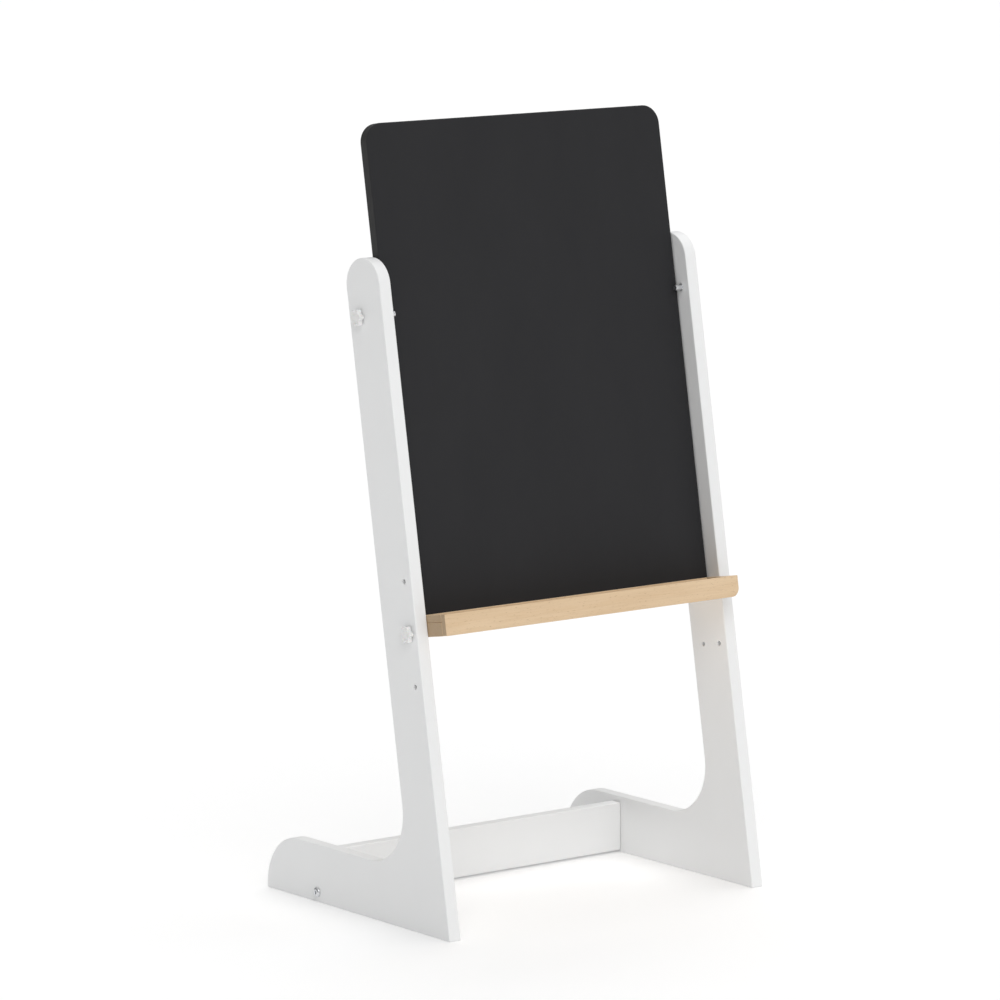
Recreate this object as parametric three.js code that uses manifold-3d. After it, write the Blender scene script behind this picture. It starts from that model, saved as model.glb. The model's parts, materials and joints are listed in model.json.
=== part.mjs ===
// Children's easel in millimetres: +Z is up and -Y faces the child.
// Two L-shaped side panels are held apart by a rear bottom rail and a rear cross bar.
// The board leans back between two steel pins and the cross bar, stands in the tray's slot,
// and lifts out along the lean. The origin is on the floor, in the middle of the footprint.

import * as THREE from 'three';
import { mergeVertices } from 'three/addons/utils/BufferGeometryUtils.js';
import Module from 'manifold-3d';

const wasm = await Module();
wasm.setup();

// ---------- driving dimensions ----------

const LEAN = THREE.MathUtils.degToRad(10); // board and legs lean back by this much
const FIT = 0.3; // gap kept between pieces that touch
const WIDTH = 520; // outer face to outer face of the side panels
const DEPTH = 400; // length of a foot along the floor
const PANEL = 18; // thickness of the painted side panels
const LEG_DEPTH = 72; // leg, square to its leaning front edge
const LEG_LENGTH = 875; // along the lean, from the floor to the top of the round end
const FOOT_HEIGHT = 77;
const SWEEP = 70; // radius behind the leg, and of the toe at the rear

const BOARD = { width: 480, thick: 15, front: 22.1, top: 1044, corner: 25, skin: 0.9 };
const TRAY = { bottom: 387.5, thick: 18, front: -38, back: 70, rim: 9.5, strip: 14 };
const LIP = { thick: 8, leftCorner: 2, rightCorner: 12 };
const RAIL = { front: 277.5, thick: 18, bottom: 3, height: 66 };
const BAR = { front: 38.3, thick: 22, slope: 800, height: 40 };

const M6 = { rod: 2.9, clear: 3.4, insert: 5, insertLength: 15 };
const KNOB = { radius: 10, lobe: 1.7, lobes: 6, thick: 6.5, bore: 3.2, boreDepth: 3.6 };
const WASHER = { inner: 3.4, outer: 7, thick: 1 };
const PIN = { shank: 2.5, collar: 5, collarThick: 1.5, head: 3.6, reach: 11.5, depth: 10, back: 15 };
const DOWEL = { thin: 2.5, thick: 4, play: 0.4 };
const TRAY_HOLE = { front: 16, rear: 48.7, slope: 393.5, pitch: 67.3 };
const RAIL_BOLT = { height: 13, length: 60, head: 6.6, headThick: 3.2, socket: 2.3, nutFromEnd: 36 };
const RAIL_DOWEL = { height: 50, length: 28, intoPanel: 10 };

const ROUND = 20; // sides of a round piece or hole
const ARC = 10; // divisions of each sweeping arc

const innerX = WIDTH / 2 - PANEL;
const spanX = innerX - FIT;
const boardBottom = TRAY.bottom + TRAY.thick + FIT;
const railMiddle = RAIL.front + RAIL.thick / 2;

// ---------- materials ----------

const paint = (hex, roughness, metalness = 0) => () =>
  new THREE.MeshStandardMaterial({ color: hex, roughness, metalness });
const whitePaint = paint(0xf1f1ef, 0.5);
const beech = paint(0xd8b996, 0.6);
const chalkBlack = paint(0x2e2d2f, 0.75);
const whiteboard = paint(0xf4f5f5, 0.25);
const fibreboard = paint(0x3a3836, 0.8);
const whitePlastic = paint(0xeeeeec, 0.4);
const steel = paint(0xb9bbbd, 0.3, 1);
const brass = paint(0xc2a35a, 0.35, 1);

// ---------- solids ----------

// A closed geometry as a Manifold solid, with only positions and merged vertices.
function solid(geometry) {
  const bare = geometry.clone();
  bare.deleteAttribute('normal');
  bare.deleteAttribute('uv');
  const merged = mergeVertices(bare, 1e-4);
  const mesh = new wasm.Mesh({
    numProp: 3,
    vertProperties: new Float32Array(merged.attributes.position.array),
    triVerts: new Uint32Array(merged.index.array),
  });
  return new wasm.Manifold(mesh);
}

function geometryOf(manifold) {
  const mesh = manifold.getMesh();
  const geometry = new THREE.BufferGeometry();
  geometry.setAttribute('position', new THREE.BufferAttribute(mesh.vertProperties, 3));
  geometry.setIndex(new THREE.BufferAttribute(mesh.triVerts, 1));
  const flat = geometry.toNonIndexed();
  flat.computeVertexNormals();
  return flat;
}

function cut(geometry, cutters) {
  const result = cutters.reduce((rest, cutter) => rest.subtract(solid(cutter)), solid(geometry));
  return geometryOf(result);
}

function join(geometries) {
  const [first, ...others] = geometries.map(solid);
  return geometryOf(others.reduce((sum, other) => sum.add(other), first));
}

function box([x0, x1], [y0, y1], [z0, z1]) {
  const geometry = new THREE.BoxGeometry(x1 - x0, y1 - y0, z1 - z0);
  return geometry.translate((x0 + x1) / 2, (y0 + y1) / 2, (z0 + z1) / 2);
}

// A round bar along X between two stations.
function rodX(radius, [x0, x1], y, z, sides = ROUND) {
  const geometry = new THREE.CylinderGeometry(radius, radius, Math.abs(x1 - x0), sides);
  return geometry.rotateZ(Math.PI / 2).translate((x0 + x1) / 2, y, z);
}

function rodY(radius, [y0, y1], x, z) {
  const geometry = new THREE.CylinderGeometry(radius, radius, y1 - y0, ROUND);
  return geometry.translate(x, (y0 + y1) / 2, z);
}

// An outline in (y, z), extruded along X from x0 to x1.
function extrudeX(shape, x0, x1, curveSegments = ARC) {
  const geometry = new THREE.ExtrudeGeometry(shape, { depth: x1 - x0, bevelEnabled: false, curveSegments });
  const toYZX = new THREE.Matrix4().makeBasis(
    new THREE.Vector3(0, 1, 0),
    new THREE.Vector3(0, 0, 1),
    new THREE.Vector3(1, 0, 0),
  );
  return geometry.applyMatrix4(toYZX).translate(x0, 0, 0);
}

// An outline in (x, z), extruded along Y from y0 to y1.
function extrudeY(shape, y0, y1) {
  const settings = { depth: y1 - y0, bevelEnabled: false, curveSegments: 6 };
  const geometry = new THREE.ExtrudeGeometry(shape, settings);
  return geometry.rotateX(Math.PI / 2).translate(0, y1, 0);
}

// ---------- the two frames ----------

// Everything stands in one group; the leaning group turns its Y and Z back by the lean.
const easel = new THREE.Group();
const standing = new THREE.Group();
standing.position.y = -DEPTH / 2;
const leaning = new THREE.Group();
leaning.rotation.x = -LEAN;
standing.add(leaning);
easel.add(standing);

function add(group, name, geometry, material) {
  const mesh = new THREE.Mesh(geometry, material());
  mesh.name = name;
  group.add(mesh);
}

// A point given by its set-back from the leaning front plane and its distance up the slope.
function leanPoint(back, slope) {
  return new THREE.Vector2(
    slope * Math.sin(LEAN) + back * Math.cos(LEAN),
    slope * Math.cos(LEAN) - back * Math.sin(LEAN),
  );
}

// ---------- side panels ----------

function panelOutline() {
  const endRadius = LEG_DEPTH / 2;
  const endCentre = leanPoint(endRadius, LEG_LENGTH - endRadius);
  const legFront = leanPoint(0, LEG_LENGTH - endRadius);
  const sweepZ = FOOT_HEIGHT + SWEEP;
  const sweepY = (LEG_DEPTH + SWEEP + sweepZ * Math.sin(LEAN)) / Math.cos(LEAN);
  const shape = new THREE.Shape();
  shape.moveTo(0, 0);
  shape.lineTo(legFront.x, legFront.y);
  shape.absarc(endCentre.x, endCentre.y, endRadius, Math.PI - LEAN, -LEAN, true);
  shape.absarc(sweepY, sweepZ, SWEEP, Math.PI - LEAN, 1.5 * Math.PI, false);
  shape.absarc(DEPTH - SWEEP, FOOT_HEIGHT - SWEEP, SWEEP, Math.PI / 2, 0, true);
  shape.lineTo(DEPTH, 0);
  shape.closePath();
  return shape;
}

// A hole through the panel, or from one face only when depth is given.
function panelHole(side, radius, point, { from = 'through', depth = PANEL } = {}) {
  const stations = {
    through: [innerX - 1, innerX + PANEL + 1],
    outer: [innerX + PANEL - depth, innerX + PANEL + 1],
    inner: [innerX - 1, innerX + depth],
  }[from];
  return rodX(radius, stations.map((x) => side * x), point.x, point.y);
}

function sidePanel(name, side) {
  const stations = [side * innerX, side * (innerX + PANEL)].sort((a, b) => a - b);
  const body = extrudeX(panelOutline(), ...stations);
  const { front, rear, slope, pitch } = TRAY_HOLE;
  const holes = [
    panelHole(side, M6.clear, leanPoint(BAR.front + BAR.thick / 2, BAR.slope)),
    panelHole(side, M6.clear, leanPoint(front, slope)),
    panelHole(side, M6.clear, leanPoint(front, slope - pitch)),
    panelHole(side, M6.clear, leanPoint(front, slope + pitch), { from: 'outer', depth: 14 }),
    panelHole(side, DOWEL.thin + DOWEL.play, leanPoint(rear, slope), { from: 'inner', depth: 9 }),
    panelHole(side, DOWEL.thin + DOWEL.play, leanPoint(rear, slope - pitch), { from: 'inner', depth: 9 }),
    panelHole(side, PIN.shank + DOWEL.play, pinPlace(), { from: 'inner', depth: PIN.depth + FIT }),
    panelHole(side, M6.clear, new THREE.Vector2(railMiddle, RAIL_BOLT.height)),
    panelHole(side, DOWEL.thick + DOWEL.play, new THREE.Vector2(railMiddle, RAIL_DOWEL.height), {
      from: 'inner',
      depth: RAIL_DOWEL.intoPanel + FIT,
    }),
  ];
  add(standing, name, cut(body, holes), whitePaint);
}

// ---------- rear bottom rail with its bolts, barrel nuts and dowels ----------

function bottomRail() {
  const { front, thick, bottom, height } = RAIL;
  const body = box([-spanX, spanX], [front, front + thick], [bottom, bottom + height]);
  const holes = [];
  for (const side of [-1, 1]) {
    const nutX = side * (spanX - RAIL_BOLT.nutFromEnd);
    holes.push(rodX(M6.clear, [side * (spanX - 48), side * (spanX + 1)], railMiddle, RAIL_BOLT.height));
    holes.push(rodY(M6.insert + FIT, [front + 3, front + thick + 1], nutX, RAIL_BOLT.height));
    const dowelStations = [side * (spanX - 19), side * (spanX + 1)];
    holes.push(rodX(DOWEL.thick + DOWEL.play, dowelStations, railMiddle, RAIL_DOWEL.height));
  }
  add(standing, 'rear_bottom_rail', cut(body, holes), whitePaint);
}

function railFasteners(word, side) {
  const { height, length, head, headThick, socket } = RAIL_BOLT;
  const faceX = innerX + PANEL + FIT;
  const along = (a, b) => [side * a, side * b];
  const bolt = join([
    rodX(head, along(faceX, faceX + headThick), railMiddle, height),
    rodX(M6.rod, along(faceX - length, faceX + 1), railMiddle, height),
  ]);
  const socketHole = rodX(socket, along(faceX + 1, faceX + headThick + 1), railMiddle, height, 6);
  add(standing, `rail_bolt_${word}`, cut(bolt, [socketHole]), steel);

  const nutX = side * (spanX - RAIL_BOLT.nutFromEnd);
  const nut = rodY(M6.insert, [RAIL.front + 3.3, RAIL.front + RAIL.thick - 0.5], nutX, height);
  const bore = rodX(M6.clear, [nutX - 8, nutX + 8], railMiddle, height);
  add(standing, `rail_barrel_nut_${word}`, cut(nut, [bore]), steel);

  const dowelEnd = innerX + RAIL_DOWEL.intoPanel;
  const dowelStations = along(dowelEnd - RAIL_DOWEL.length, dowelEnd);
  const dowel = rodX(DOWEL.thick, dowelStations, railMiddle, RAIL_DOWEL.height);
  add(standing, `rail_dowel_${word}`, dowel, beech);
}

// ---------- rear cross bar behind the board ----------

function barMiddle() {
  return BAR.front + BAR.thick / 2;
}

function insertHole(side, y, z) {
  return rodX(M6.insert + FIT, [side * (spanX - M6.insertLength - FIT), side * (spanX + 1)], y, z);
}

function boltRoom(side, y, z) {
  return rodX(M6.clear, [side * (spanX - 24), side * (spanX + 1)], y, z);
}

function threadedInsert(name, side, y, z) {
  const stations = [side * (spanX - M6.insertLength), side * (spanX - FIT)];
  const sleeve = rodX(M6.insert, stations, y, z);
  const bore = rodX(M6.clear, [side * (spanX - 20), side * (spanX + 1)], y, z);
  add(leaning, name, cut(sleeve, [bore]), brass);
}

function crossBar() {
  const { front, thick, slope, height } = BAR;
  const body = box([-spanX, spanX], [front, front + thick], [slope - height / 2, slope + height / 2]);
  const ends = [-1, 1];
  const holes = ends.flatMap((side) => [
    insertHole(side, barMiddle(), slope),
    boltRoom(side, barMiddle(), slope),
  ]);
  add(leaning, 'rear_cross_bar', cut(body, holes), whitePaint);
}

// ---------- star knobs ----------

function lobedOutline() {
  const shape = new THREE.Shape();
  const points = KNOB.lobes * 8;
  for (let i = 0; i < points; i += 1) {
    const angle = (i / points) * 2 * Math.PI;
    const radius = KNOB.radius + KNOB.lobe * Math.cos(KNOB.lobes * angle);
    const [y, z] = [radius * Math.cos(angle), radius * Math.sin(angle)];
    if (i === 0) shape.moveTo(y, z);
    else shape.lineTo(y, z);
  }
  shape.closePath();
  return shape;
}

// A plastic star knob on a steel stud, with a washer between it and the panel.
function starKnob(place, word, side, y, z) {
  const washerX = innerX + PANEL + FIT;
  const knobX = washerX + WASHER.thick + FIT;
  const along = (a, b) => [side * a, side * b];
  const ordered = along(knobX, knobX + KNOB.thick).sort((a, b) => a - b);
  const head = extrudeX(lobedOutline(), ...ordered).translate(0, y, z);
  const bore = rodX(KNOB.bore, along(knobX - 1, knobX + KNOB.boreDepth), y, z);
  add(leaning, `${place}_knob_${word}`, cut(head, [bore]), whitePlastic);

  const studInner = innerX - M6.insertLength - FIT;
  const stud = rodX(M6.rod, along(studInner, knobX + KNOB.boreDepth - FIT), y, z);
  add(leaning, `${place}_knob_stud_${word}`, stud, steel);

  const disc = rodX(WASHER.outer, along(washerX, washerX + WASHER.thick), y, z);
  const eye = rodX(WASHER.inner, along(washerX - 1, washerX + 2), y, z);
  add(leaning, `${place}_knob_washer_${word}`, cut(disc, [eye]), whitePlastic);
}

// ---------- steel pins in front of the board ----------

function pinPlace() {
  return leanPoint(PIN.back, BAR.slope);
}

function frontPin(name, side) {
  const along = (a, b) => [side * a, side * b];
  const collarX = innerX - FIT;
  const pin = join([
    rodX(PIN.shank, along(collarX - 1, innerX + PIN.depth), PIN.back, BAR.slope),
    rodX(PIN.collar - 0.2, along(collarX - PIN.collarThick, collarX), PIN.back, BAR.slope),
    rodX(PIN.head, along(innerX - PIN.reach, collarX - 1), PIN.back, BAR.slope),
  ]);
  add(leaning, name, pin, steel);
}

// ---------- board ----------

function boardOutline() {
  const { width, top, corner } = BOARD;
  const side = width / 2;
  const shape = new THREE.Shape();
  shape.moveTo(-side, boardBottom);
  shape.lineTo(side, boardBottom);
  shape.absarc(side - corner, top - corner, corner, 0, Math.PI / 2, false);
  shape.absarc(corner - side, top - corner, corner, Math.PI / 2, Math.PI, false);
  shape.closePath();
  return shape;
}

function board() {
  const { front, thick, skin } = BOARD;
  const back = front + thick;
  const layers = [
    ['chalkboard_face', front, front + skin, chalkBlack],
    ['board_core', front + skin + FIT, back - skin - FIT, fibreboard],
    ['whiteboard_face', back - skin, back, whiteboard],
  ];
  for (const [name, y0, y1, material] of layers) {
    add(leaning, name, extrudeY(boardOutline(), y0, y1), material);
  }
}

// ---------- tray ----------

function lipOutline() {
  const { bottom, thick, rim } = TRAY;
  const { leftCorner, rightCorner } = LIP;
  const top = bottom + thick + rim;
  const shape = new THREE.Shape();
  shape.moveTo(-spanX, top);
  shape.absarc(leftCorner - spanX, bottom + leftCorner, leftCorner, Math.PI, 1.5 * Math.PI, false);
  shape.absarc(spanX - rightCorner, bottom + rightCorner, rightCorner, 1.5 * Math.PI, 2 * Math.PI, false);
  shape.lineTo(spanX, top);
  shape.closePath();
  return shape;
}

function trayBase() {
  const { bottom, thick, front, back } = TRAY;
  const body = box([-spanX, spanX], [front + LIP.thick + FIT, back], [bottom, bottom + thick]);
  const { front: boltY, rear: dowelY, slope } = TRAY_HOLE;
  const holes = [-1, 1].flatMap((side) => [
    insertHole(side, boltY, slope),
    boltRoom(side, boltY, slope),
    rodX(DOWEL.thin + DOWEL.play, [side * (spanX - 17), side * (spanX + 1)], dowelY, slope),
  ]);
  add(leaning, 'tray_base', cut(body, holes), beech);
}

function tray() {
  const { bottom, thick, front, rim, strip } = TRAY;
  const floor = bottom + thick + FIT;
  const top = bottom + thick + rim;
  const lipBack = front + LIP.thick + FIT;
  const boardSlot = [BOARD.front - 0.8, BOARD.front + BOARD.thick + 0.8];
  const stopFront = boardSlot[0] - 12;
  trayBase();
  add(leaning, 'tray_front_lip', extrudeY(lipOutline(), front, front + LIP.thick), beech);
  const stopStations = [-spanX, spanX];
  add(leaning, 'tray_board_stop', box(stopStations, [stopFront, boardSlot[0]], [floor, top]), beech);
  const rearStop = box(stopStations, [boardSlot[1], boardSlot[1] + 12], [floor, top]);
  add(leaning, 'tray_rear_stop', rearStop, beech);
  for (const [word, side] of sides) {
    const stations = [side * spanX, side * (spanX - strip)].sort((a, b) => a - b);
    add(leaning, `tray_end_strip_${word}`, box(stations, [lipBack, stopFront - FIT], [floor, top]), beech);
    threadedInsert(`tray_insert_${word}`, side, TRAY_HOLE.front, TRAY_HOLE.slope);
    const dowelStations = [side * (spanX - 16), side * (innerX + 8.5)];
    const dowel = rodX(DOWEL.thin, dowelStations, TRAY_HOLE.rear, TRAY_HOLE.slope);
    add(leaning, `tray_dowel_${word}`, dowel, steel);
  }
}

// ---------- assembly ----------

const sides = [['left', -1], ['right', 1]];

bottomRail();
crossBar();
board();
tray();
for (const [word, side] of sides) {
  sidePanel(`side_panel_${word}`, side);
  railFasteners(word, side);
  threadedInsert(`bar_insert_${word}`, side, barMiddle(), BAR.slope);
  frontPin(`board_pin_${word}`, side);
  starKnob('bar', word, side, barMiddle(), BAR.slope);
  starKnob('tray', word, side, TRAY_HOLE.front, TRAY_HOLE.slope);
}

export default easel;
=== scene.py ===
# Children's easel: the looks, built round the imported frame.
# Metres. +Z is up and -Y faces the child. Places come from the CAD nodes; radii, round-overs
# and surface detail are set here.

import json
import math

import bmesh
import bpy
from mathutils import Matrix, Vector


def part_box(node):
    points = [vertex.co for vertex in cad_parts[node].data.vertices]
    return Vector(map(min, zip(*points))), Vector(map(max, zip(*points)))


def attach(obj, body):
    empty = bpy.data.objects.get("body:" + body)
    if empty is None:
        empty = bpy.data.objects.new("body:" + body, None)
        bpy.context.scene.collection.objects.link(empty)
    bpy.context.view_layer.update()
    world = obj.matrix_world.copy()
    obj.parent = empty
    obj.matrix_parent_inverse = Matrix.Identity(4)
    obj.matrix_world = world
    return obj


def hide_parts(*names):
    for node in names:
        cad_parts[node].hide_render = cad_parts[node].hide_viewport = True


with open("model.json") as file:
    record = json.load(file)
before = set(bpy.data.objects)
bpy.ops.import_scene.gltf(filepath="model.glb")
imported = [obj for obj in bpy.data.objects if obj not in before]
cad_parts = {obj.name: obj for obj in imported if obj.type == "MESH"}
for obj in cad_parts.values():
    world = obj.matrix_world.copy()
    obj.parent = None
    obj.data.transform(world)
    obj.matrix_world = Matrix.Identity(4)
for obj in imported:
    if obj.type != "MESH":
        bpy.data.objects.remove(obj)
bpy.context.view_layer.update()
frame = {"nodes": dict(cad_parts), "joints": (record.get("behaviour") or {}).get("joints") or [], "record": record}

MM = 0.001
SIDES = (("left", -1), ("right", 1))
NODES = frame["nodes"]
BODIES = frame["record"]["behaviour"]["bodies"]
BODY_OF = {node: body for body, nodes in BODIES.items() for node in nodes}

# ---------- shape of the side panels ----------

LEG_DEPTH = 72 * MM
LEG_LENGTH = 875 * MM  # along the lean, floor to the top of the round end
FOOT_HEIGHT = 77 * MM
SWEEP = 70 * MM  # radius behind the leg, and of the toe at the rear
HOLE_PITCH = 67.3 * MM  # between the tray's heights
BLIND_HOLE = 14 * MM  # depth of the blind hole above the tray, from outside
PEG_HOLE = 9 * MM  # depth of the tray's dowel holes, from inside
PIN_HOLE = 10.3 * MM  # depth of the pin and rail dowel holes, from inside
PIN_HOLE_RADIUS = 2.9 * MM

# ---------- edges ----------

PANEL_EDGE = 1.6 * MM
BOARD_EDGE = 2.2 * MM
BEECH_EDGE = 0.6 * MM
HOLE_EASE = 0.35 * MM
BOARD_CORNER = 25 * MM
LIP_LEFT_CORNER = 2 * MM
LIP_RIGHT_CORNER = 12 * MM
SKIN = 1.05 * MM  # depth of each writing face of the board
SHARP = math.radians(30)  # a solid's edges that turn by more are rounded

# ---------- hardware ----------

M6_HOLE = 3.4 * MM
M6_CREST = 2.95 * MM
M6_ROOT = 2.5 * MM
M6_PITCH = 1.0 * MM
M6_RUNOUT = 0.2 * MM  # how far under the thread's root the tip's chamfer ends
DOWEL_PLAY = 0.4 * MM
SLEEVE_PLAY = 0.3 * MM
BOLT_HEAD = 3.2 * MM
BOLT_PLAIN = 34 * MM  # unthreaded part of the rail bolt's shank
STUD_PLAIN = 4 * MM
NUT_CHAMFER = 0.5 * MM
SCREW_SLOT = 1.2 * MM  # width of the driver slots
DOWEL_FLUTES = 16
FLUTE_DEPTH = 0.25 * MM
DOWEL_CHAMFER = 0.8 * MM
INSERT_BORE = 3.1 * MM
INSERT_RIDGE = 0.8 * MM
WASHER_BORE = 3.5 * MM
WASHER_EASE = 0.25 * MM
KNOB_RADIUS = 10 * MM
KNOB_LOBE = 1.7 * MM
KNOB_LOBES = 6
KNOB_RIM = 1.5 * MM
KNOB_BORE = 3.2 * MM
KNOB_BORE_DEPTH = 3.6 * MM
SOCKET = 2.3 * MM  # rail bolt's hexagon, centre to corner
SOCKET_DEPTH = 2.2 * MM
PIN_SHANK = 2.5 * MM
PIN_HEAD = 3.6 * MM
PIN_COLLAR = 4.8 * MM

# ---------- depths of the holes in the ends of the rails and the tray ----------

RAIL_BOLT_BORE = 28 * MM
RAIL_DOWEL_BORE = 19 * MM
RAIL_FRONT_WALL = 3 * MM  # left in front of the barrel nut's pocket
INSERT_BORE_DEPTH = 24 * MM
TRAY_DOWEL_BORE = 17 * MM

# ---------- studio ----------

CAMERA_PLACE = (-4.399, -5.669, 1.648)
CAMERA_DOWN = 8.95  # degrees below level
CAMERA_TURN = 37.65  # degrees clockwise from looking along +Y
CAMERA_LENS = 199.7  # mm, on a sensor 36 mm wide
FLOOR_REACH = 40

SKY_BASE = 0.04
SKY_GLOW = (("Y", -0.5), ("Z", 0.56))  # added strength towards -Y and +Z
FLOOR_GLOW = 0.14
FILL_SUN = ("front fill", (-0.38, -0.64, 0.67), 0.8, 40)  # name, towards, strength, width in degrees
TOP_SUN = ("top light", (0.38, 0.2, 0.9), 1.0, 50)

# ---------- the easel's frame and the leaning frame ----------


def lean_angle():
    """How far the board and the panels' front edges lean back."""
    lift = next(joint for joint in frame["joints"] if joint["name"] == "board_lift")
    return math.atan2(lift["axis"][1], lift["axis"][2])


LEAN = lean_angle()
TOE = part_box("side_panel_left")[0].y
# From (x, back from the leaning front plane, up the slope) to the easel's own frame.
TILT = Matrix.Translation((0, TOE, 0)) @ Matrix.Rotation(-LEAN, 4, "X")


def lean_box(node):
    """Lowest and highest corners of a node in leaning coordinates."""
    back_to_lean = TILT.inverted()
    points = [back_to_lean @ vertex.co for vertex in NODES[node].data.vertices]
    return Vector(map(min, zip(*points))), Vector(map(max, zip(*points)))


def middle(box):
    return (box[0] + box[1]) / 2


def upright(back, slope):
    """(y, z) in the easel's frame of a point in leaning coordinates."""
    point = TILT @ Vector((0, back, slope))
    return point.y, point.z


# ---------- solids ----------


def arc(centre, radius, start, end, steps):
    """Points on an arc, its angles in degrees, both ends included."""
    angles = [math.radians(start + (end - start) * i / steps) for i in range(steps + 1)]
    return [(centre[0] + radius * math.cos(a), centre[1] + radius * math.sin(a)) for a in angles]


def prism(outline, low, high, axis):
    """A closed outline swept along X, as (y, z), or along Y, as (x, z)."""
    bm = bmesh.new()
    if axis == "X":
        rings = [[bm.verts.new((s, u, v)) for u, v in outline] for s in (low, high)]
    else:
        rings = [[bm.verts.new((u, s, v)) for u, v in outline] for s in (low, high)]
    join_rings(bm, rings[0], rings[1])
    for ring in rings:
        bm.faces.new(ring)
    bmesh.ops.recalc_face_normals(bm, faces=bm.faces)
    return bm


def join_rings(bm, ring_a, ring_b):
    """Faces between two closed rings with as many points each."""
    count = len(ring_a)
    for i in range(count):
        j = (i + 1) % count
        bm.faces.new((ring_a[i], ring_a[j], ring_b[j], ring_b[i]))


def block(low, high):
    outline = [(low.y, low.z), (high.y, low.z), (high.y, high.z), (low.y, high.z)]
    return prism(outline, low.x, high.x, "X")


def rounded(bm, radius, steps=4):
    """Rounds every sharp edge."""
    sharp = [edge for edge in bm.edges if edge.calc_face_angle(0) > SHARP]
    bmesh.ops.bevel(
        bm,
        geom=sharp,
        offset=radius,
        offset_type="OFFSET",
        segments=steps,
        profile=0.5,
        affect="EDGES",
        clamp_overlap=True,
    )
    return bm


def turned(profile, y, z, steps=48, ring=False, shape=None):
    """A solid turned about a line along X, from (station, radius) pairs.

    ring closes the profile on itself. shape(angle, station, radius) gives a radius that
    changes round the axis.
    """
    bm = bmesh.new()
    rings = []
    for station, radius in profile:
        points = []
        for i in range(steps):
            angle = 2 * math.pi * i / steps
            r = shape(angle, station, radius) if shape else radius
            points.append(bm.verts.new((station, y + r * math.cos(angle), z + r * math.sin(angle))))
        rings.append(points)
    for ring_a, ring_b in zip(rings, rings[1:]):
        join_rings(bm, ring_a, ring_b)
    if ring:
        join_rings(bm, rings[-1], rings[0])
    else:
        bm.faces.new(rings[0])
        bm.faces.new(rings[-1])
    bmesh.ops.recalc_face_normals(bm, faces=bm.faces)
    return bm


def drill(face, far, radius, y, z, through=True):
    """A cutter along X from one face to another, or to a blind end, with eased mouths."""
    way = 1 if far > face else -1
    over = MM * way
    ease = HOLE_EASE * way
    profile = [(face - over, radius + HOLE_EASE), (face, radius + HOLE_EASE), (face + ease, radius)]
    if through:
        profile += [(far - ease, radius), (far, radius + HOLE_EASE), (far + over, radius + HOLE_EASE)]
    else:
        profile += [(far, radius), (far + way * radius * 0.3, radius * 0.05)]
    return turned(profile, y, z, steps=40)


def merged(*parts):
    """Closed solids put together in one mesh."""
    whole = bmesh.new()
    for part in parts:
        mesh = bpy.data.meshes.new("part")
        part.to_mesh(mesh)
        part.free()
        whole.from_mesh(mesh)
        bpy.data.meshes.remove(mesh)
    return whole


def loose(bm):
    """A throwaway object that holds a mesh for the boolean."""
    mesh = bpy.data.meshes.new("loose")
    bm.to_mesh(mesh)
    bm.free()
    obj = bpy.data.objects.new("loose", mesh)
    bpy.context.scene.collection.objects.link(obj)
    return obj


def carved(bm, cutters):
    """The solid less its cutters, which don't touch each other."""
    solid, tool = loose(bm), loose(merged(*cutters))
    modifier = solid.modifiers.new("cut", "BOOLEAN")
    modifier.object = tool
    modifier.operation = "DIFFERENCE"
    modifier.solver = "EXACT"
    result = bmesh.new()
    result.from_object(solid, bpy.context.evaluated_depsgraph_get())
    for obj in (solid, tool):
        mesh = obj.data
        bpy.data.objects.remove(obj)
        bpy.data.meshes.remove(mesh)
    return result


def show(node, bm, material, tilted=True, crease=35):
    """Puts a finished solid in the scene in place of its CAD node."""
    if tilted:
        bm.transform(TILT)
    mesh = bpy.data.meshes.new(node + "_detail")
    bm.to_mesh(mesh)
    bm.free()
    mesh.shade_smooth()
    mesh.set_sharp_from_angle(angle=math.radians(crease))
    mesh.materials.append(material)
    obj = bpy.data.objects.new(node + "_detail", mesh)
    bpy.context.scene.collection.objects.link(obj)
    normals = obj.modifiers.new("flat faces stay flat", "WEIGHTED_NORMAL")
    normals.keep_sharp = True
    normals.weight = 100
    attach(obj, BODY_OF[node])
    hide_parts(node)


# ---------- materials ----------


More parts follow.
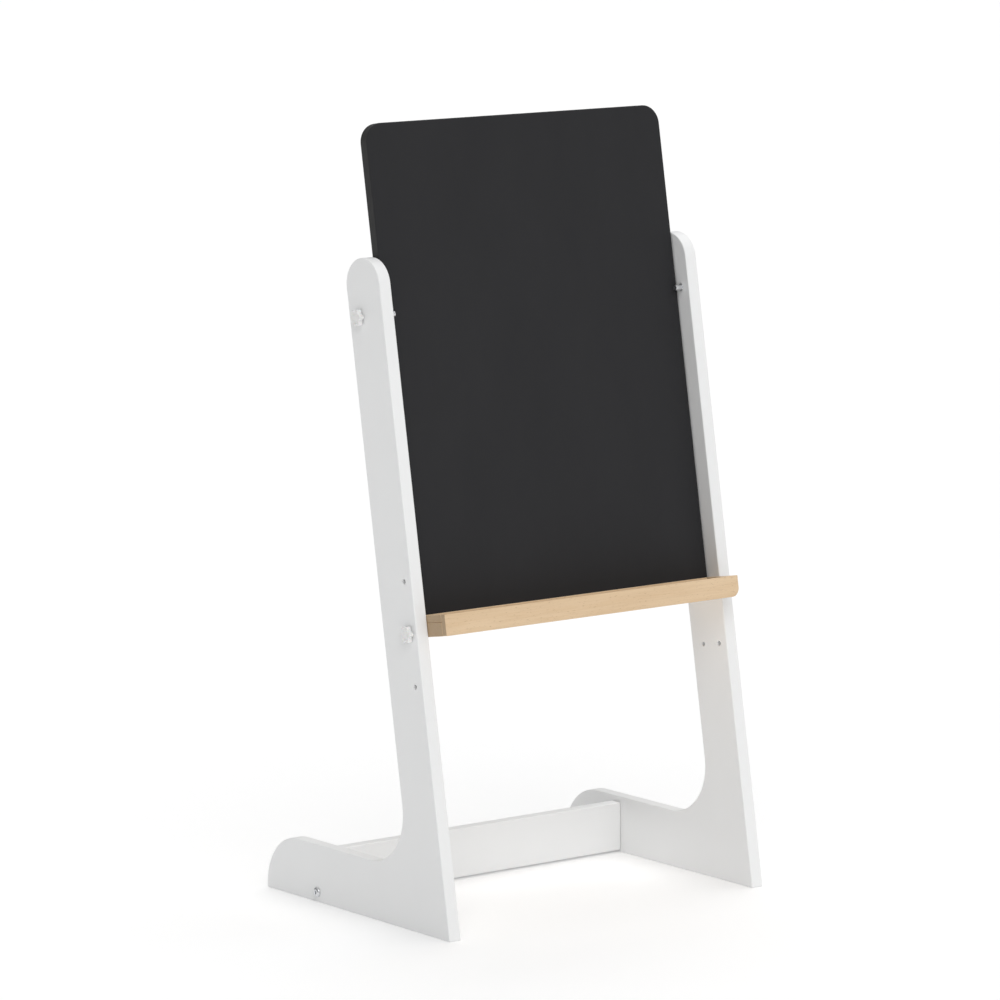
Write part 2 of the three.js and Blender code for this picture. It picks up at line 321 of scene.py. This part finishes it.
class Nodes:
    """A material's node tree, with short names for the nodes that the finishes share."""

    def __init__(self, name):
        self.material = bpy.data.materials.new(name)
        self.material.use_nodes = True
        self.tree = self.material.node_tree
        self.shader = self.tree.nodes["Principled BSDF"]
        self.place = self.add("ShaderNodeTexCoord").outputs["Object"]

    def add(self, kind, **settings):
        node = self.tree.nodes.new(kind)
        for name, value in settings.items():
            setattr(node, name, value)
        return node

    def link(self, source, target):
        self.tree.links.new(source, target)

    def stretched(self, scale):
        """Object coordinates, scaled along each axis."""
        mapping = self.add("ShaderNodeMapping")
        mapping.inputs["Scale"].default_value = scale
        self.link(self.place, mapping.inputs["Vector"])
        return mapping.outputs["Vector"]

    def noise(self, scale, detail=3.0, roughness=0.5, stretch=(1, 1, 1)):
        """Noise with this many waves a metre."""
        noise = self.add("ShaderNodeTexNoise")
        noise.inputs["Scale"].default_value = scale
        noise.inputs["Detail"].default_value = detail
        noise.inputs["Roughness"].default_value = roughness
        self.link(self.stretched(stretch), noise.inputs["Vector"])
        return noise.outputs["Fac"]

    def ramp(self, source, *stops):
        """A colour ramp through (position, colour) stops."""
        ramp = self.add("ShaderNodeValToRGB")
        while len(ramp.color_ramp.elements) < len(stops):
            ramp.color_ramp.elements.new(0.5)
        for element, (position, colour) in zip(ramp.color_ramp.elements, stops):
            element.position = position
            element.color = (*colour, 1)
        self.link(source, ramp.inputs["Fac"])
        return ramp.outputs["Color"]

    def span(self, source, low, high, start=0.0, end=1.0):
        """A value from low to high as the source goes from start to end."""
        span = self.add("ShaderNodeMapRange")
        values = {"From Min": start, "From Max": end, "To Min": low, "To Max": high}
        for name, value in values.items():
            span.inputs[name].default_value = value
        self.link(source, span.inputs["Value"])
        return span.outputs["Result"]

    def mix(self, amount, colour_a, colour_b):
        """A colour between two, each a socket or a colour."""
        mix = self.add("ShaderNodeMix", data_type="RGBA")
        factor, a, b = (mix.inputs[i] for i in (0, 6, 7))  # the sockets of the colour mode
        for source, socket in ((amount, factor), (colour_a, a), (colour_b, b)):
            if isinstance(source, bpy.types.NodeSocket):
                self.link(source, socket)
            elif isinstance(source, tuple):
                socket.default_value = (*source, 1)
            else:
                socket.default_value = source
        return mix.outputs[2]  # the colour mode's result

    def towards_x(self):
        """0 where the surface faces away from the X axis, 1 where it faces along it."""
        split = self.add("ShaderNodeSeparateXYZ")
        self.link(self.add("ShaderNodeTexCoord").outputs["Normal"], split.inputs["Vector"])
        size = self.add("ShaderNodeMath", operation="ABSOLUTE")
        self.link(split.outputs["X"], size.inputs[0])
        return size.outputs[0]

    def bump(self, height, depth, strength):
        """A normal from a height of 0 to 1 that stands for this depth in metres."""
        bump = self.add("ShaderNodeBump")
        bump.inputs["Strength"].default_value = strength
        bump.inputs["Distance"].default_value = depth
        self.link(height, bump.inputs["Height"])
        return bump.outputs["Normal"]

    def set(self, **values):
        """Constants on the shader, by socket name with _ for a space."""
        for name, value in values.items():
            socket = self.shader.inputs[name.replace("_", " ")]
            socket.default_value = (*value, 1) if isinstance(value, tuple) else value

    def wire(self, **sources):
        """Sockets linked to the shader, by socket name with _ for a space."""
        for name, source in sources.items():
            self.link(source, self.shader.inputs[name.replace("_", " ")])


def white_paint():
    """Sprayed satin paint: a faint orange peel, and a tone that drifts a little."""
    n = Nodes("white satin paint")
    drift = n.noise(6, detail=2)
    colour = n.ramp(drift, (0.3, (0.848, 0.853, 0.853)), (0.7, (0.868, 0.873, 0.873)))
    peel = n.noise(420, detail=2, roughness=0.4)
    brush = n.noise(60, detail=3)
    n.wire(Base_Color=colour, Roughness=n.span(brush, 0.42, 0.54, 0.3, 0.7))
    n.wire(Normal=n.bump(peel, 0.05 * MM, 0.25))
    n.set(Specular_IOR_Level=0.4)
    return n.material


def beech():
    """Lacquered beech with its grain along X: soft streaks, ray flecks, rings on the ends, and end faces darkened,
    partly as end grain and partly as painted shade.
    """
    n = Nodes("lacquered beech")
    rings = n.add("ShaderNodeTexWave", wave_type="RINGS", rings_direction="X", wave_profile="SIN")
    values = {"Scale": 22, "Distortion": 5.5, "Detail": 2.5, "Detail Scale": 9, "Detail Roughness": 0.55}
    for name, value in values.items():
        rings.inputs[name].default_value = value
    shifted = n.add("ShaderNodeMapping")
    shifted.inputs["Location"].default_value = (0, 0.16, -0.31)
    shifted.inputs["Scale"].default_value = (0.08, 1, 1)
    n.link(n.place, shifted.inputs["Vector"])
    n.link(shifted.outputs["Vector"], rings.inputs["Vector"])
    broad = n.noise(30, detail=3, stretch=(0.12, 1, 1))
    fine = n.noise(900, detail=4, roughness=0.6, stretch=(0.02, 1, 1))
    fleck = n.noise(1150, detail=1, stretch=(0.16, 1, 1))
    base = n.ramp(broad, (0.3, (0.695, 0.505, 0.315)), (0.7, (0.775, 0.585, 0.385)))
    ringed = n.mix(n.span(rings.outputs["Fac"], 0.0, 0.34, 0.35, 1.0), base, (0.68, 0.482, 0.285))
    streaked = n.mix(n.span(fine, 0.0, 0.45, 0.45, 0.8), ringed, (0.59, 0.41, 0.237))
    flecked = n.mix(n.span(fleck, 0.0, 0.42, 0.66, 0.74), streaked, (0.33, 0.19, 0.095))
    # Faces along X are darkened: partly the darker end grain, partly painted shade.
    ends = n.span(n.towards_x(), 0.0, 0.58, 0.5, 0.9)
    n.wire(Base_Color=n.mix(ends, flecked, (0.21, 0.145, 0.085)))
    n.wire(Roughness=n.span(fine, 0.42, 0.6, 0.3, 0.7))
    n.wire(Normal=n.bump(fine, 0.06 * MM, 0.3))
    n.set(Specular_IOR_Level=0.4, Coat_Weight=0.08, Coat_Roughness=0.35)
    return n.material


def chalk_black():
    """Matt chalkboard coating, very finely grained, with the ghost of wiped chalk."""
    n = Nodes("chalkboard coating")
    ghost = n.noise(9, detail=4, roughness=0.6, stretch=(1, 1, 0.45))
    colour = n.ramp(ghost, (0.35, (0.0185, 0.0185, 0.0204)), (0.75, (0.0195, 0.0195, 0.0214)))
    grit = n.noise(2600, detail=2)
    n.wire(Base_Color=colour, Roughness=n.span(ghost, 0.8, 0.72, 0.3, 0.75))
    n.wire(Normal=n.bump(grit, 0.03 * MM, 0.35))
    n.set(Specular_IOR_Level=0.28)
    return n.material


def black_fibreboard():
    """Black-stained edge of the board: short fibres, a little lighter than the face."""
    n = Nodes("black fibreboard edge")
    fibre = n.noise(800, detail=4, roughness=0.65, stretch=(1, 0.5, 1))
    cloud = n.noise(25, detail=2)
    colour = n.ramp(cloud, (0.3, (0.019, 0.019, 0.0195)), (0.7, (0.025, 0.025, 0.0255)))
    specked = n.mix(n.span(fibre, 0.0, 0.5, 0.55, 0.8), colour, (0.05, 0.047, 0.045))
    n.wire(Base_Color=specked, Roughness=n.span(fibre, 0.55, 0.72, 0.3, 0.7))
    n.wire(Normal=n.bump(fibre, 0.05 * MM, 0.3))
    n.set(Specular_IOR_Level=0.4)
    return n.material


def whiteboard():
    """Glossy white laminate with a slow waviness."""
    n = Nodes("whiteboard laminate")
    wave = n.noise(28, detail=1)
    haze = n.noise(14, detail=4)
    colour = n.ramp(haze, (0.3, (0.80, 0.81, 0.812)), (0.7, (0.825, 0.832, 0.835)))
    n.wire(Base_Color=colour, Roughness=n.span(haze, 0.10, 0.17, 0.3, 0.7))
    n.wire(Normal=n.bump(wave, 0.2 * MM, 0.2))
    n.set(Coat_Weight=0.3, Coat_Roughness=0.06)
    return n.material


def nylon():
    """Moulded white nylon, finely textured."""
    n = Nodes("white moulded nylon")
    cloud = n.noise(70, detail=2)
    grain = n.noise(2200, detail=2)
    colour = n.ramp(cloud, (0.3, (0.80, 0.80, 0.792)), (0.7, (0.83, 0.83, 0.825)))
    n.wire(Base_Color=colour, Roughness=n.span(grain, 0.30, 0.42, 0.3, 0.7))
    n.wire(Normal=n.bump(grain, 0.03 * MM, 0.25))
    n.set(Subsurface_Weight=0.06, Subsurface_Scale=1.5 * MM)
    return n.material


def turned_metal(name, dull, bright, patch_size, gloss):
    """Turned metal: fine marks round the axis, and a tone and gloss that change in patches."""
    n = Nodes(name)
    patch = n.noise(patch_size, detail=3)
    turning = n.noise(2400, detail=2, stretch=(1, 0.15, 0.15))
    n.wire(Base_Color=n.ramp(patch, (0.3, dull), (0.7, bright)))
    n.wire(Roughness=n.span(patch, *gloss, 0.3, 0.7))
    n.wire(Normal=n.bump(turning, 0.03 * MM, 0.3))
    n.set(Metallic=1.0)
    return n.material


WHITE = white_paint()
BEECH = beech()
CHALK = chalk_black()
FIBRE = black_fibreboard()
WHITEBOARD = whiteboard()
NYLON = nylon()
STEEL = turned_metal("zinc-plated steel", (0.66, 0.67, 0.69), (0.78, 0.79, 0.80), 350, (0.24, 0.4))
BRASS = turned_metal("turned brass", (0.60, 0.44, 0.19), (0.72, 0.55, 0.27), 400, (0.25, 0.42))

# ---------- side panels ----------


def panel_outline():
    """The L-shaped outline as (y, z), from the toe round to the heel."""
    lean = math.degrees(LEAN)
    end_radius = LEG_DEPTH / 2
    end_centre = upright(end_radius, LEG_LENGTH - end_radius)
    sweep_z = FOOT_HEIGHT + SWEEP
    sweep_y = TOE + (LEG_DEPTH + SWEEP + sweep_z * math.sin(LEAN)) / math.cos(LEAN)
    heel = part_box("side_panel_left")[1].y
    return (
        [(TOE, 0)]
        + arc(end_centre, end_radius, 180 - lean, -lean, 60)
        + arc((sweep_y, sweep_z), SWEEP, 180 - lean, 270, 40)
        + arc((heel - SWEEP, FOOT_HEIGHT - SWEEP), SWEEP, 90, 0, 45)
        + [(heel, 0)]
    )


def panel_holes(side, word, inner, outer):
    """Cutters for one panel's through, blind and dowel holes."""
    bar = middle(lean_box(f"bar_knob_stud_{word}"))
    tray = middle(lean_box(f"tray_knob_stud_{word}"))
    peg = middle(lean_box(f"tray_dowel_{word}"))
    pin = middle(lean_box(f"board_pin_{word}"))
    bolt = middle(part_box(f"rail_bolt_{word}"))
    rail_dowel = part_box(f"rail_dowel_{word}")
    cutters = [drill(outer, inner, M6_HOLE, *upright(bar.y, bar.z))]
    for drop in (0, HOLE_PITCH):
        cutters.append(drill(outer, inner, M6_HOLE, *upright(tray.y, tray.z - drop)))
    blind_end = outer - side * BLIND_HOLE
    above = upright(tray.y, tray.z + HOLE_PITCH)
    cutters.append(drill(outer, blind_end, M6_HOLE, *above, through=False))
    peg_radius = lean_box(f"tray_dowel_{word}")[1].z - peg.z + DOWEL_PLAY
    peg_end = inner + side * PEG_HOLE
    for drop in (0, HOLE_PITCH):
        cutters.append(drill(inner, peg_end, peg_radius, *upright(peg.y, peg.z - drop), through=False))
    short_end = inner + side * PIN_HOLE
    cutters.append(drill(inner, short_end, PIN_HOLE_RADIUS, *upright(pin.y, pin.z), through=False))
    cutters.append(drill(outer, inner, M6_HOLE, bolt.y, bolt.z))
    dowel = middle(rail_dowel)
    dowel_radius = rail_dowel[1].z - dowel.z + DOWEL_PLAY
    cutters.append(drill(inner, short_end, dowel_radius, dowel.y, dowel.z, through=False))
    return cutters


def side_panels():
    for word, side in SIDES:
        node = f"side_panel_{word}"
        low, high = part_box(node)
        inner, outer = (low.x, high.x) if side > 0 else (high.x, low.x)
        slab = rounded(prism(panel_outline(), low.x, high.x, "X"), PANEL_EDGE)
        show(node, carved(slab, panel_holes(side, word, inner, outer)), WHITE, tilted=False)


# ---------- threads, bolts, nuts and dowels ----------


def thread_shape(start, tip):
    """A radius that winds into an M6 thread from start to the tip, and is plain before it."""
    way = 1 if tip > start else -1

    def shape(angle, station, radius):
        into = (station - start) * way
        if into < 0 or radius < M6_ROOT:
            return radius
        phase = (into / M6_PITCH - way * angle / (2 * math.pi)) % 1
        crest = M6_ROOT + (M6_CREST - M6_ROOT) * min(1, 2.6 * min(phase, 1 - phase))
        to_tip = abs(tip - station)
        return min(radius, crest, M6_ROOT - M6_RUNOUT + to_tip)

    return shape


def stations(start, end, step):
    """Evenly spaced places from start to end, about a step apart."""
    count = max(1, round(abs(end - start) / step))
    return [start + (end - start) * i / count for i in range(count + 1)]


def threaded_stud(start, tip, plain, y, z):
    """A stud whose thread runs from the end of its plain part to its tip."""
    way = 1 if tip > start else -1
    thread_start = start + way * plain
    profile = [(start, M6_CREST)] if plain else []
    profile += [(s, M6_CREST) for s in stations(thread_start, tip, M6_PITCH / 7)]
    return turned(profile, y, z, steps=28, shape=thread_shape(thread_start, tip))


def button_head(face, side, y, z, radius, thick):
    """A domed head with a hexagon socket, sitting on the face."""
    ease = 0.3 * MM
    band = 0.9 * MM  # height of the straight rim under the dome
    crown = 3.4 * MM  # radius of the flat top
    dome = [(face, radius - ease), (face + side * ease, radius), (face + side * band, radius)]
    for i in range(1, 9):
        turn = math.radians(90 * i / 8)
        out = band + (thick - band) * math.sin(turn)
        dome.append((face + side * out, crown + (radius - crown) * math.cos(turn)))
    head = turned(dome, y, z)
    top = face + side * thick
    socket = [(top + side * MM, SOCKET + ease), (top, SOCKET + ease)]
    socket += [(top - side * ease, SOCKET), (top - side * SOCKET_DEPTH, SOCKET)]
    socket.append((top - side * (SOCKET_DEPTH + 0.8 * MM), 0.1 * MM))
    return carved(head, [turned(socket, y, z, steps=6)])


def rail_bolts():
    for word, side in SIDES:
        node = f"rail_bolt_{word}"
        low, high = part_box(node)
        centre = middle((low, high))
        radius = high.z - centre.z
        tip, top = (low.x, high.x) if side > 0 else (high.x, low.x)
        face = top - side * BOLT_HEAD
        head = button_head(face, side, centre.y, centre.z, radius, BOLT_HEAD)
        root = face + side * 0.3 * MM  # a little inside the head
        shank = threaded_stud(root, tip, BOLT_PLAIN, centre.y, centre.z)
        show(node, merged(head, shank), STEEL, tilted=False)


def barrel_nuts():
    """Cross-drilled cylinders along Y, slotted on the end that shows at the rail's back."""
    for word, side in SIDES:
        node = f"rail_barrel_nut_{word}"
        low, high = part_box(node)
        centre = middle((low, high))
        radius = high.z - centre.z
        profile = [(low.y, radius - NUT_CHAMFER), (low.y + NUT_CHAMFER, radius)]
        profile += [(high.y - NUT_CHAMFER, radius), (high.y, radius - NUT_CHAMFER)]
        nut = turned(profile, 0, 0)
        nut.transform(Matrix.Rotation(math.pi / 2, 4, "Z"))
        nut.transform(Matrix.Translation((centre.x, 0, centre.z)))
        past = 8 * MM  # from the middle to clear of the nut's side
        half = SCREW_SLOT / 2
        slot = block(
            Vector((centre.x - half, high.y - 1.3 * MM, centre.z - past)),
            Vector((centre.x + half, high.y + MM, centre.z + past)),
        )
        ends = [(centre.x - past, M6_HOLE), (centre.x + past, M6_HOLE)]
        bore = turned(ends, centre.y, centre.z)
        show(node, carved(nut, [slot, bore]), STEEL, tilted=False)


def fluted_dowel(low, high):
    """A dowel along X with glue flutes and chamfered ends."""
    centre = middle((low, high))
    radius = high.z - centre.z

    def flutes(angle, station, r):
        return r - FLUTE_DEPTH * (0.5 + 0.5 * math.cos(DOWEL_FLUTES * angle))

    profile = [(low.x, radius - DOWEL_CHAMFER), (low.x + DOWEL_CHAMFER, radius)]
    profile += [(high.x - DOWEL_CHAMFER, radius), (high.x, radius - DOWEL_CHAMFER)]
    return turned(profile, centre.y, centre.z, steps=96, shape=flutes)


def plain_dowel(low, high):
    """A steel peg along X with round ends."""
    centre = middle((low, high))
    radius = high.z - centre.z
    nose = [radius * (1 - math.cos(math.radians(a))) for a in (0, 30, 60, 90)]
    rise = [radius * (0.35 + 0.65 * math.sin(math.radians(a))) for a in (0, 30, 60, 90)]
    profile = [(low.x + n, r) for n, r in zip(nose, rise)]
    profile += [(high.x - n, r) for n, r in zip(reversed(nose), reversed(rise))]
    return turned(profile, centre.y, centre.z)


def dowels():
    for word, side in SIDES:
        node = f"rail_dowel_{word}"
        show(node, fluted_dowel(*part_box(node)), BEECH, tilted=False)
        node = f"tray_dowel_{word}"
        show(node, plain_dowel(*lean_box(node)), STEEL)


def threaded_insert(node, side):
    """A brass sleeve: coarse wood thread outside, M6 bore, driving slot in its face."""
    low, high = lean_box(node)
    centre = middle((low, high))
    radius = high.z - centre.z
    deep, face = (low.x, high.x) if side > 0 else (high.x, low.x)
    profile = []
    for i, station in enumerate(stations(deep, face, 0.7 * MM)):
        profile.append((station, radius if i % 3 else radius - INSERT_RIDGE))
    profile += [(face, INSERT_BORE), (deep, INSERT_BORE)]
    sleeve = turned(profile, centre.y, centre.z, steps=36, ring=True)
    slot_ends = sorted((face - side * 2 * MM, face + side * MM))
    half = SCREW_SLOT / 2
    past = 9 * MM  # from the middle to clear of the sleeve's side
    slot = block(
        Vector((slot_ends[0], centre.y - half, centre.z - past)),
        Vector((slot_ends[1], centre.y + half, centre.z + past)),
    )
    show(node, carved(sleeve, [slot]), BRASS)


def inserts():
    for word, side in SIDES:
        threaded_insert(f"bar_insert_{word}", side)
        threaded_insert(f"tray_insert_{word}", side)


# ---------- rails ----------


def bottom_rail():
    low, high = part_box("rear_bottom_rail")
    cutters = []
    for word, side in SIDES:
        end = high.x if side > 0 else low.x
        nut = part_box(f"rail_barrel_nut_{word}")
        bolt = middle(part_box(f"rail_bolt_{word}"))
        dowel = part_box(f"rail_dowel_{word}")
        nut_x = middle(nut).x
        nut_radius = nut[1].z - middle(nut).z + SLEEVE_PLAY
        bolt_end = end - side * RAIL_BOLT_BORE
        cutters.append(drill(end, bolt_end, M6_HOLE, bolt.y, bolt.z, through=False))
        pocket = drill(high.y, low.y + RAIL_FRONT_WALL, nut_radius, 0, 0, through=False)
        pocket.transform(Matrix.Rotation(math.pi / 2, 4, "Z"))
        pocket.transform(Matrix.Translation((nut_x, 0, bolt.z)))
        cutters.append(pocket)
        radius = dowel[1].z - middle(dowel).z + DOWEL_PLAY
        dowel_end = end - side * RAIL_DOWEL_BORE
        cutters.append(drill(end, dowel_end, radius, middle(dowel).y, middle(dowel).z, through=False))
    rail = rounded(block(low, high), PANEL_EDGE)
    show("rear_bottom_rail", carved(rail, cutters), WHITE, tilted=False)


def insert_pocket(node, side, end):
    """A cutter for a threaded insert and the stud's end past it."""
    box = lean_box(node)
    radius = box[1].z - middle(box).z + SLEEVE_PLAY
    deep = end - side * INSERT_BORE_DEPTH
    return drill(end, deep, radius, middle(box).y, middle(box).z, through=False)


def cross_bar():
    low, high = lean_box("rear_cross_bar")
    cutters = []
    for word, side in SIDES:
        cutters.append(insert_pocket(f"bar_insert_{word}", side, high.x if side > 0 else low.x))
    show("rear_cross_bar", carved(rounded(block(low, high), PANEL_EDGE), cutters), WHITE)


# ---------- star knobs ----------


def lobes(angle, station, radius):
    """A knob's radius, lobed at the rim and round at the centre."""
    return radius + KNOB_LOBE * math.cos(KNOB_LOBES * angle) * min(1, radius / KNOB_RADIUS) ** 2


def knob_head(low, high, side):
    """A six-lobed grip: chamfered back, rounded rim, dished face with a small centre button."""
    centre = middle((low, high))
    back, top = (low.x, high.x) if side > 0 else (high.x, low.x)
    thick = abs(top - back)
    points = [(0, KNOB_BORE), (0, KNOB_RADIUS - 0.9 * MM), (0.5 * MM, KNOB_RADIUS - 0.1 * MM)]
    points += [(1.1 * MM, KNOB_RADIUS), (thick - KNOB_RIM - 0.3 * MM, KNOB_RADIUS)]
    for i in range(1, 7):
        turn = math.radians(90 * i / 6)
        out = thick - KNOB_RIM + KNOB_RIM * math.sin(turn)
        points.append((out, KNOB_RADIUS - KNOB_RIM + KNOB_RIM * math.cos(turn)))
    # The dish and the centre button, as (sunk below the top, radius) in millimetres.
    for sunk, radius in ((0.05, 7.2), (0.35, 6.2), (0.4, 4.8), (0.1, 4.3), (0.02, 3.6), (0, 0.4)):
        points.append((thick - sunk * MM, radius * MM))
    profile = [(back + side * out, radius) for out, radius in points]
    bore_end = back + side * KNOB_BORE_DEPTH
    profile = [(bore_end, 0.4 * MM), (bore_end, KNOB_BORE)] + profile
    return turned(profile, centre.y, centre.z, steps=144, shape=lobes)


def star_knobs():
    for place in ("bar", "tray"):
        for word, side in SIDES:
            node = f"{place}_knob_{word}"
            show(node, knob_head(*lean_box(node), side), NYLON)
            node = f"{place}_knob_stud_{word}"
            low, high = lean_box(node)
            tip, root = (low.x, high.x) if side > 0 else (high.x, low.x)
            centre = middle((low, high))
            show(node, threaded_stud(root, tip, STUD_PLAIN, centre.y, centre.z), STEEL)
            node = f"{place}_knob_washer_{word}"
            show(node, washer(*lean_box(node)), NYLON)


def washer(low, high):
    """A flat ring with eased edges."""
    centre = middle((low, high))
    outer = high.z - centre.z
    profile = [(low.x, WASHER_BORE), (low.x, outer - WASHER_EASE), (low.x + WASHER_EASE, outer)]
    profile += [(high.x - WASHER_EASE, outer), (high.x, outer - WASHER_EASE)]
    profile.append((high.x, WASHER_BORE))
    return turned(profile, centre.y, centre.z, ring=True)


# ---------- pins in front of the board ----------


def board_pins():
    """Turned steel pins: a shank in the panel, a collar against it and a chamfered head."""
    for word, side in SIDES:
        node = f"board_pin_{word}"
        low, high = lean_box(node)
        centre = middle((low, high))
        tip, end = (low.x, high.x) if side > 0 else (high.x, low.x)
        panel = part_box(f"side_panel_{word}")
        inner = panel[0].x if side > 0 else panel[1].x
        ease = 0.3 * MM
        collar = inner - side * ease
        points = [
            (end, PIN_SHANK - 0.5 * MM),
            (end - side * 0.5 * MM, PIN_SHANK),
            (collar, PIN_SHANK),
            (collar, PIN_COLLAR - ease),
            (collar - side * ease, PIN_COLLAR),
            (collar - side * 1.2 * MM, PIN_COLLAR),
            (collar - side * 1.5 * MM, PIN_COLLAR - ease),
            (collar - side * 1.55 * MM, PIN_HEAD),
            (tip + side * 0.9 * MM, PIN_HEAD),
            (tip + side * ease, PIN_HEAD - ease),
            (tip, PIN_HEAD - 0.9 * MM),
        ]
        show(node, turned(points, centre.y, centre.z), STEEL)


# ---------- board ----------


def board_outline(low, high):
    """A rectangle as (x, z) with round upper corners."""
    right = (high.x - BOARD_CORNER, high.z - BOARD_CORNER)
    left = (low.x + BOARD_CORNER, high.z - BOARD_CORNER)
    foot = [(low.x, low.z), (high.x, low.z)]
    return foot + arc(right, BOARD_CORNER, 0, 90, 24) + arc(left, BOARD_CORNER, 90, 180, 24)


def board_layer(slab, front, back):
    """The part of the slab between two depths, closed again where it was cut."""
    layer = slab.copy()
    for depth, keep_above in ((front, True), (back, False)):
        if depth is None:
            continue
        cut = bmesh.ops.bisect_plane(
            layer,
            geom=layer.verts[:] + layer.edges[:] + layer.faces[:],
            plane_co=(0, depth, 0),
            plane_no=(0, 1, 0),
            clear_inner=keep_above,
            clear_outer=not keep_above,
        )
        edges = [item for item in cut["geom_cut"] if isinstance(item, bmesh.types.BMEdge)]
        bmesh.ops.edgeloop_fill(layer, edges=edges)
    bmesh.ops.recalc_face_normals(layer, faces=layer.faces)
    return layer


def board():
    """One rounded slab, cut into its two writing faces and the core between them."""
    front, back = lean_box("chalkboard_face"), lean_box("whiteboard_face")
    outline = board_outline(front[0], front[1])
    slab = rounded(prism(outline, front[0].y, back[1].y, "Y"), BOARD_EDGE, steps=5)
    face_depth = front[0].y + SKIN
    back_depth = back[1].y - SKIN
    show("chalkboard_face", board_layer(slab, None, face_depth), CHALK)
    show("board_core", board_layer(slab, face_depth, back_depth), FIBRE)
    show("whiteboard_face", board_layer(slab, back_depth, None), WHITEBOARD)
    slab.free()


# ---------- tray ----------


def lip_outline(low, high):
    """A board as (x, z) with its lower corners rounded, the right one more."""
    left = (low.x + LIP_LEFT_CORNER, low.z + LIP_LEFT_CORNER)
    right = (high.x - LIP_RIGHT_CORNER, low.z + LIP_RIGHT_CORNER)
    top = [(high.x, high.z), (low.x, high.z)]
    return top + arc(left, LIP_LEFT_CORNER, 180, 270, 8) + arc(right, LIP_RIGHT_CORNER, 270, 360, 24)


def tray():
    low, high = lean_box("tray_front_lip")
    lip = prism(lip_outline(low, high), low.y, high.y, "Y")
    show("tray_front_lip", rounded(lip, BEECH_EDGE), BEECH)
    low, high = lean_box("tray_base")
    cutters = []
    for word, side in SIDES:
        end = high.x if side > 0 else low.x
        cutters.append(insert_pocket(f"tray_insert_{word}", side, end))
        peg = lean_box(f"tray_dowel_{word}")
        radius = peg[1].z - middle(peg).z + DOWEL_PLAY
        deep = end - side * TRAY_DOWEL_BORE
        cutters.append(drill(end, deep, radius, middle(peg).y, middle(peg).z, through=False))
    show("tray_base", carved(rounded(block(low, high), BEECH_EDGE), cutters), BEECH)
    strips = ["tray_board_stop", "tray_rear_stop", "tray_end_strip_left", "tray_end_strip_right"]
    for node in strips:
        show(node, rounded(block(*lean_box(node)), BEECH_EDGE), BEECH)


# ---------- floor, light and camera ----------


def floor():
    mesh = bpy.data.meshes.new("floor")
    corners = [(x * FLOOR_REACH, y * FLOOR_REACH, 0) for x, y in ((-1, -1), (1, -1), (1, 1), (-1, 1))]
    mesh.from_pydata(corners, [], [(0, 1, 2, 3)])
    n = Nodes("pale studio floor")
    n.set(Base_Color=(0.9, 0.9, 0.9), Roughness=1.0, Specular_IOR_Level=0.0)
    n.set(Emission_Color=(1.0, 1.0, 1.0), Emission_Strength=FLOOR_GLOW)
    mesh.materials.append(n.material)
    obj = bpy.data.objects.new("floor", mesh)
    bpy.context.scene.collection.objects.link(obj)


def sky_math(tree, operation, first, second, clamp=False):
    """A Math node on two inputs, each a socket or a number."""
    node = tree.nodes.new("ShaderNodeMath")
    node.operation = operation
    node.use_clamp = clamp
    for source, socket in zip((first, second), node.inputs):
        if isinstance(source, bpy.types.NodeSocket):
            tree.links.new(source, socket)
        else:
            socket.default_value = source
    return node.outputs[0]


def studio_sky():
    """A soft white sky, brighter in front and above. The camera sees plain white past the floor."""
    world = bpy.data.worlds.new("studio")
    world.use_nodes = True
    bpy.context.scene.world = world
    tree = world.node_tree
    direction = tree.nodes.new("ShaderNodeSeparateXYZ")
    tree.links.new(tree.nodes.new("ShaderNodeTexCoord").outputs["Generated"], direction.inputs["Vector"])
    strength = SKY_BASE
    for axis, weight in SKY_GLOW:
        glow = sky_math(tree, "MULTIPLY", direction.outputs[axis], weight, clamp=True)
        strength = sky_math(tree, "ADD", glow, strength)
    seen = tree.nodes.new("ShaderNodeLightPath").outputs["Is Camera Ray"]
    background = tree.nodes["Background"]
    background.inputs["Color"].default_value = (1, 1, 1, 1)
    tree.links.new(sky_math(tree, "MAXIMUM", strength, seen), background.inputs["Strength"])


def soft_sun(name, towards, strength, width):
    """A soft lamp far away in this direction, so that it falls off nowhere."""
    data = bpy.data.lights.new(name, "SUN")
    data.energy = strength
    data.angle = math.radians(width)
    obj = bpy.data.objects.new(name, data)
    obj.rotation_euler = Vector(towards).to_track_quat("Z", "Y").to_euler()
    bpy.context.scene.collection.objects.link(obj)
    return obj


def passes_board(light):
    """Every piece but the board casts this light's shadows, so the floor behind stays white."""
    blockers = bpy.data.collections.new("shadow casters")
    for node, body in BODY_OF.items():
        if body != "board":
            blockers.objects.link(bpy.data.objects[node + "_detail"])
    light.light_linking.blocker_collection = blockers


def camera():
    """At the photograph's viewing angle, with no shift."""
    data = bpy.data.cameras.new("camera")
    data.sensor_width = 36
    data.lens = CAMERA_LENS
    data.clip_end = 200
    obj = bpy.data.objects.new("camera", data)
    obj.location = CAMERA_PLACE
    obj.rotation_euler = (math.radians(90 - CAMERA_DOWN), 0, math.radians(-CAMERA_TURN))
    bpy.context.scene.collection.objects.link(obj)
    bpy.context.scene.camera = obj
    bpy.context.scene.view_settings.view_transform = "Standard"


# ---------- assembly ----------

side_panels()
bottom_rail()
rail_bolts()
barrel_nuts()
dowels()
cross_bar()
inserts()
star_knobs()
board_pins()
board()
tray()
floor()
studio_sky()
passes_board(soft_sun(*FILL_SUN))
soft_sun(*TOP_SUN)
camera()
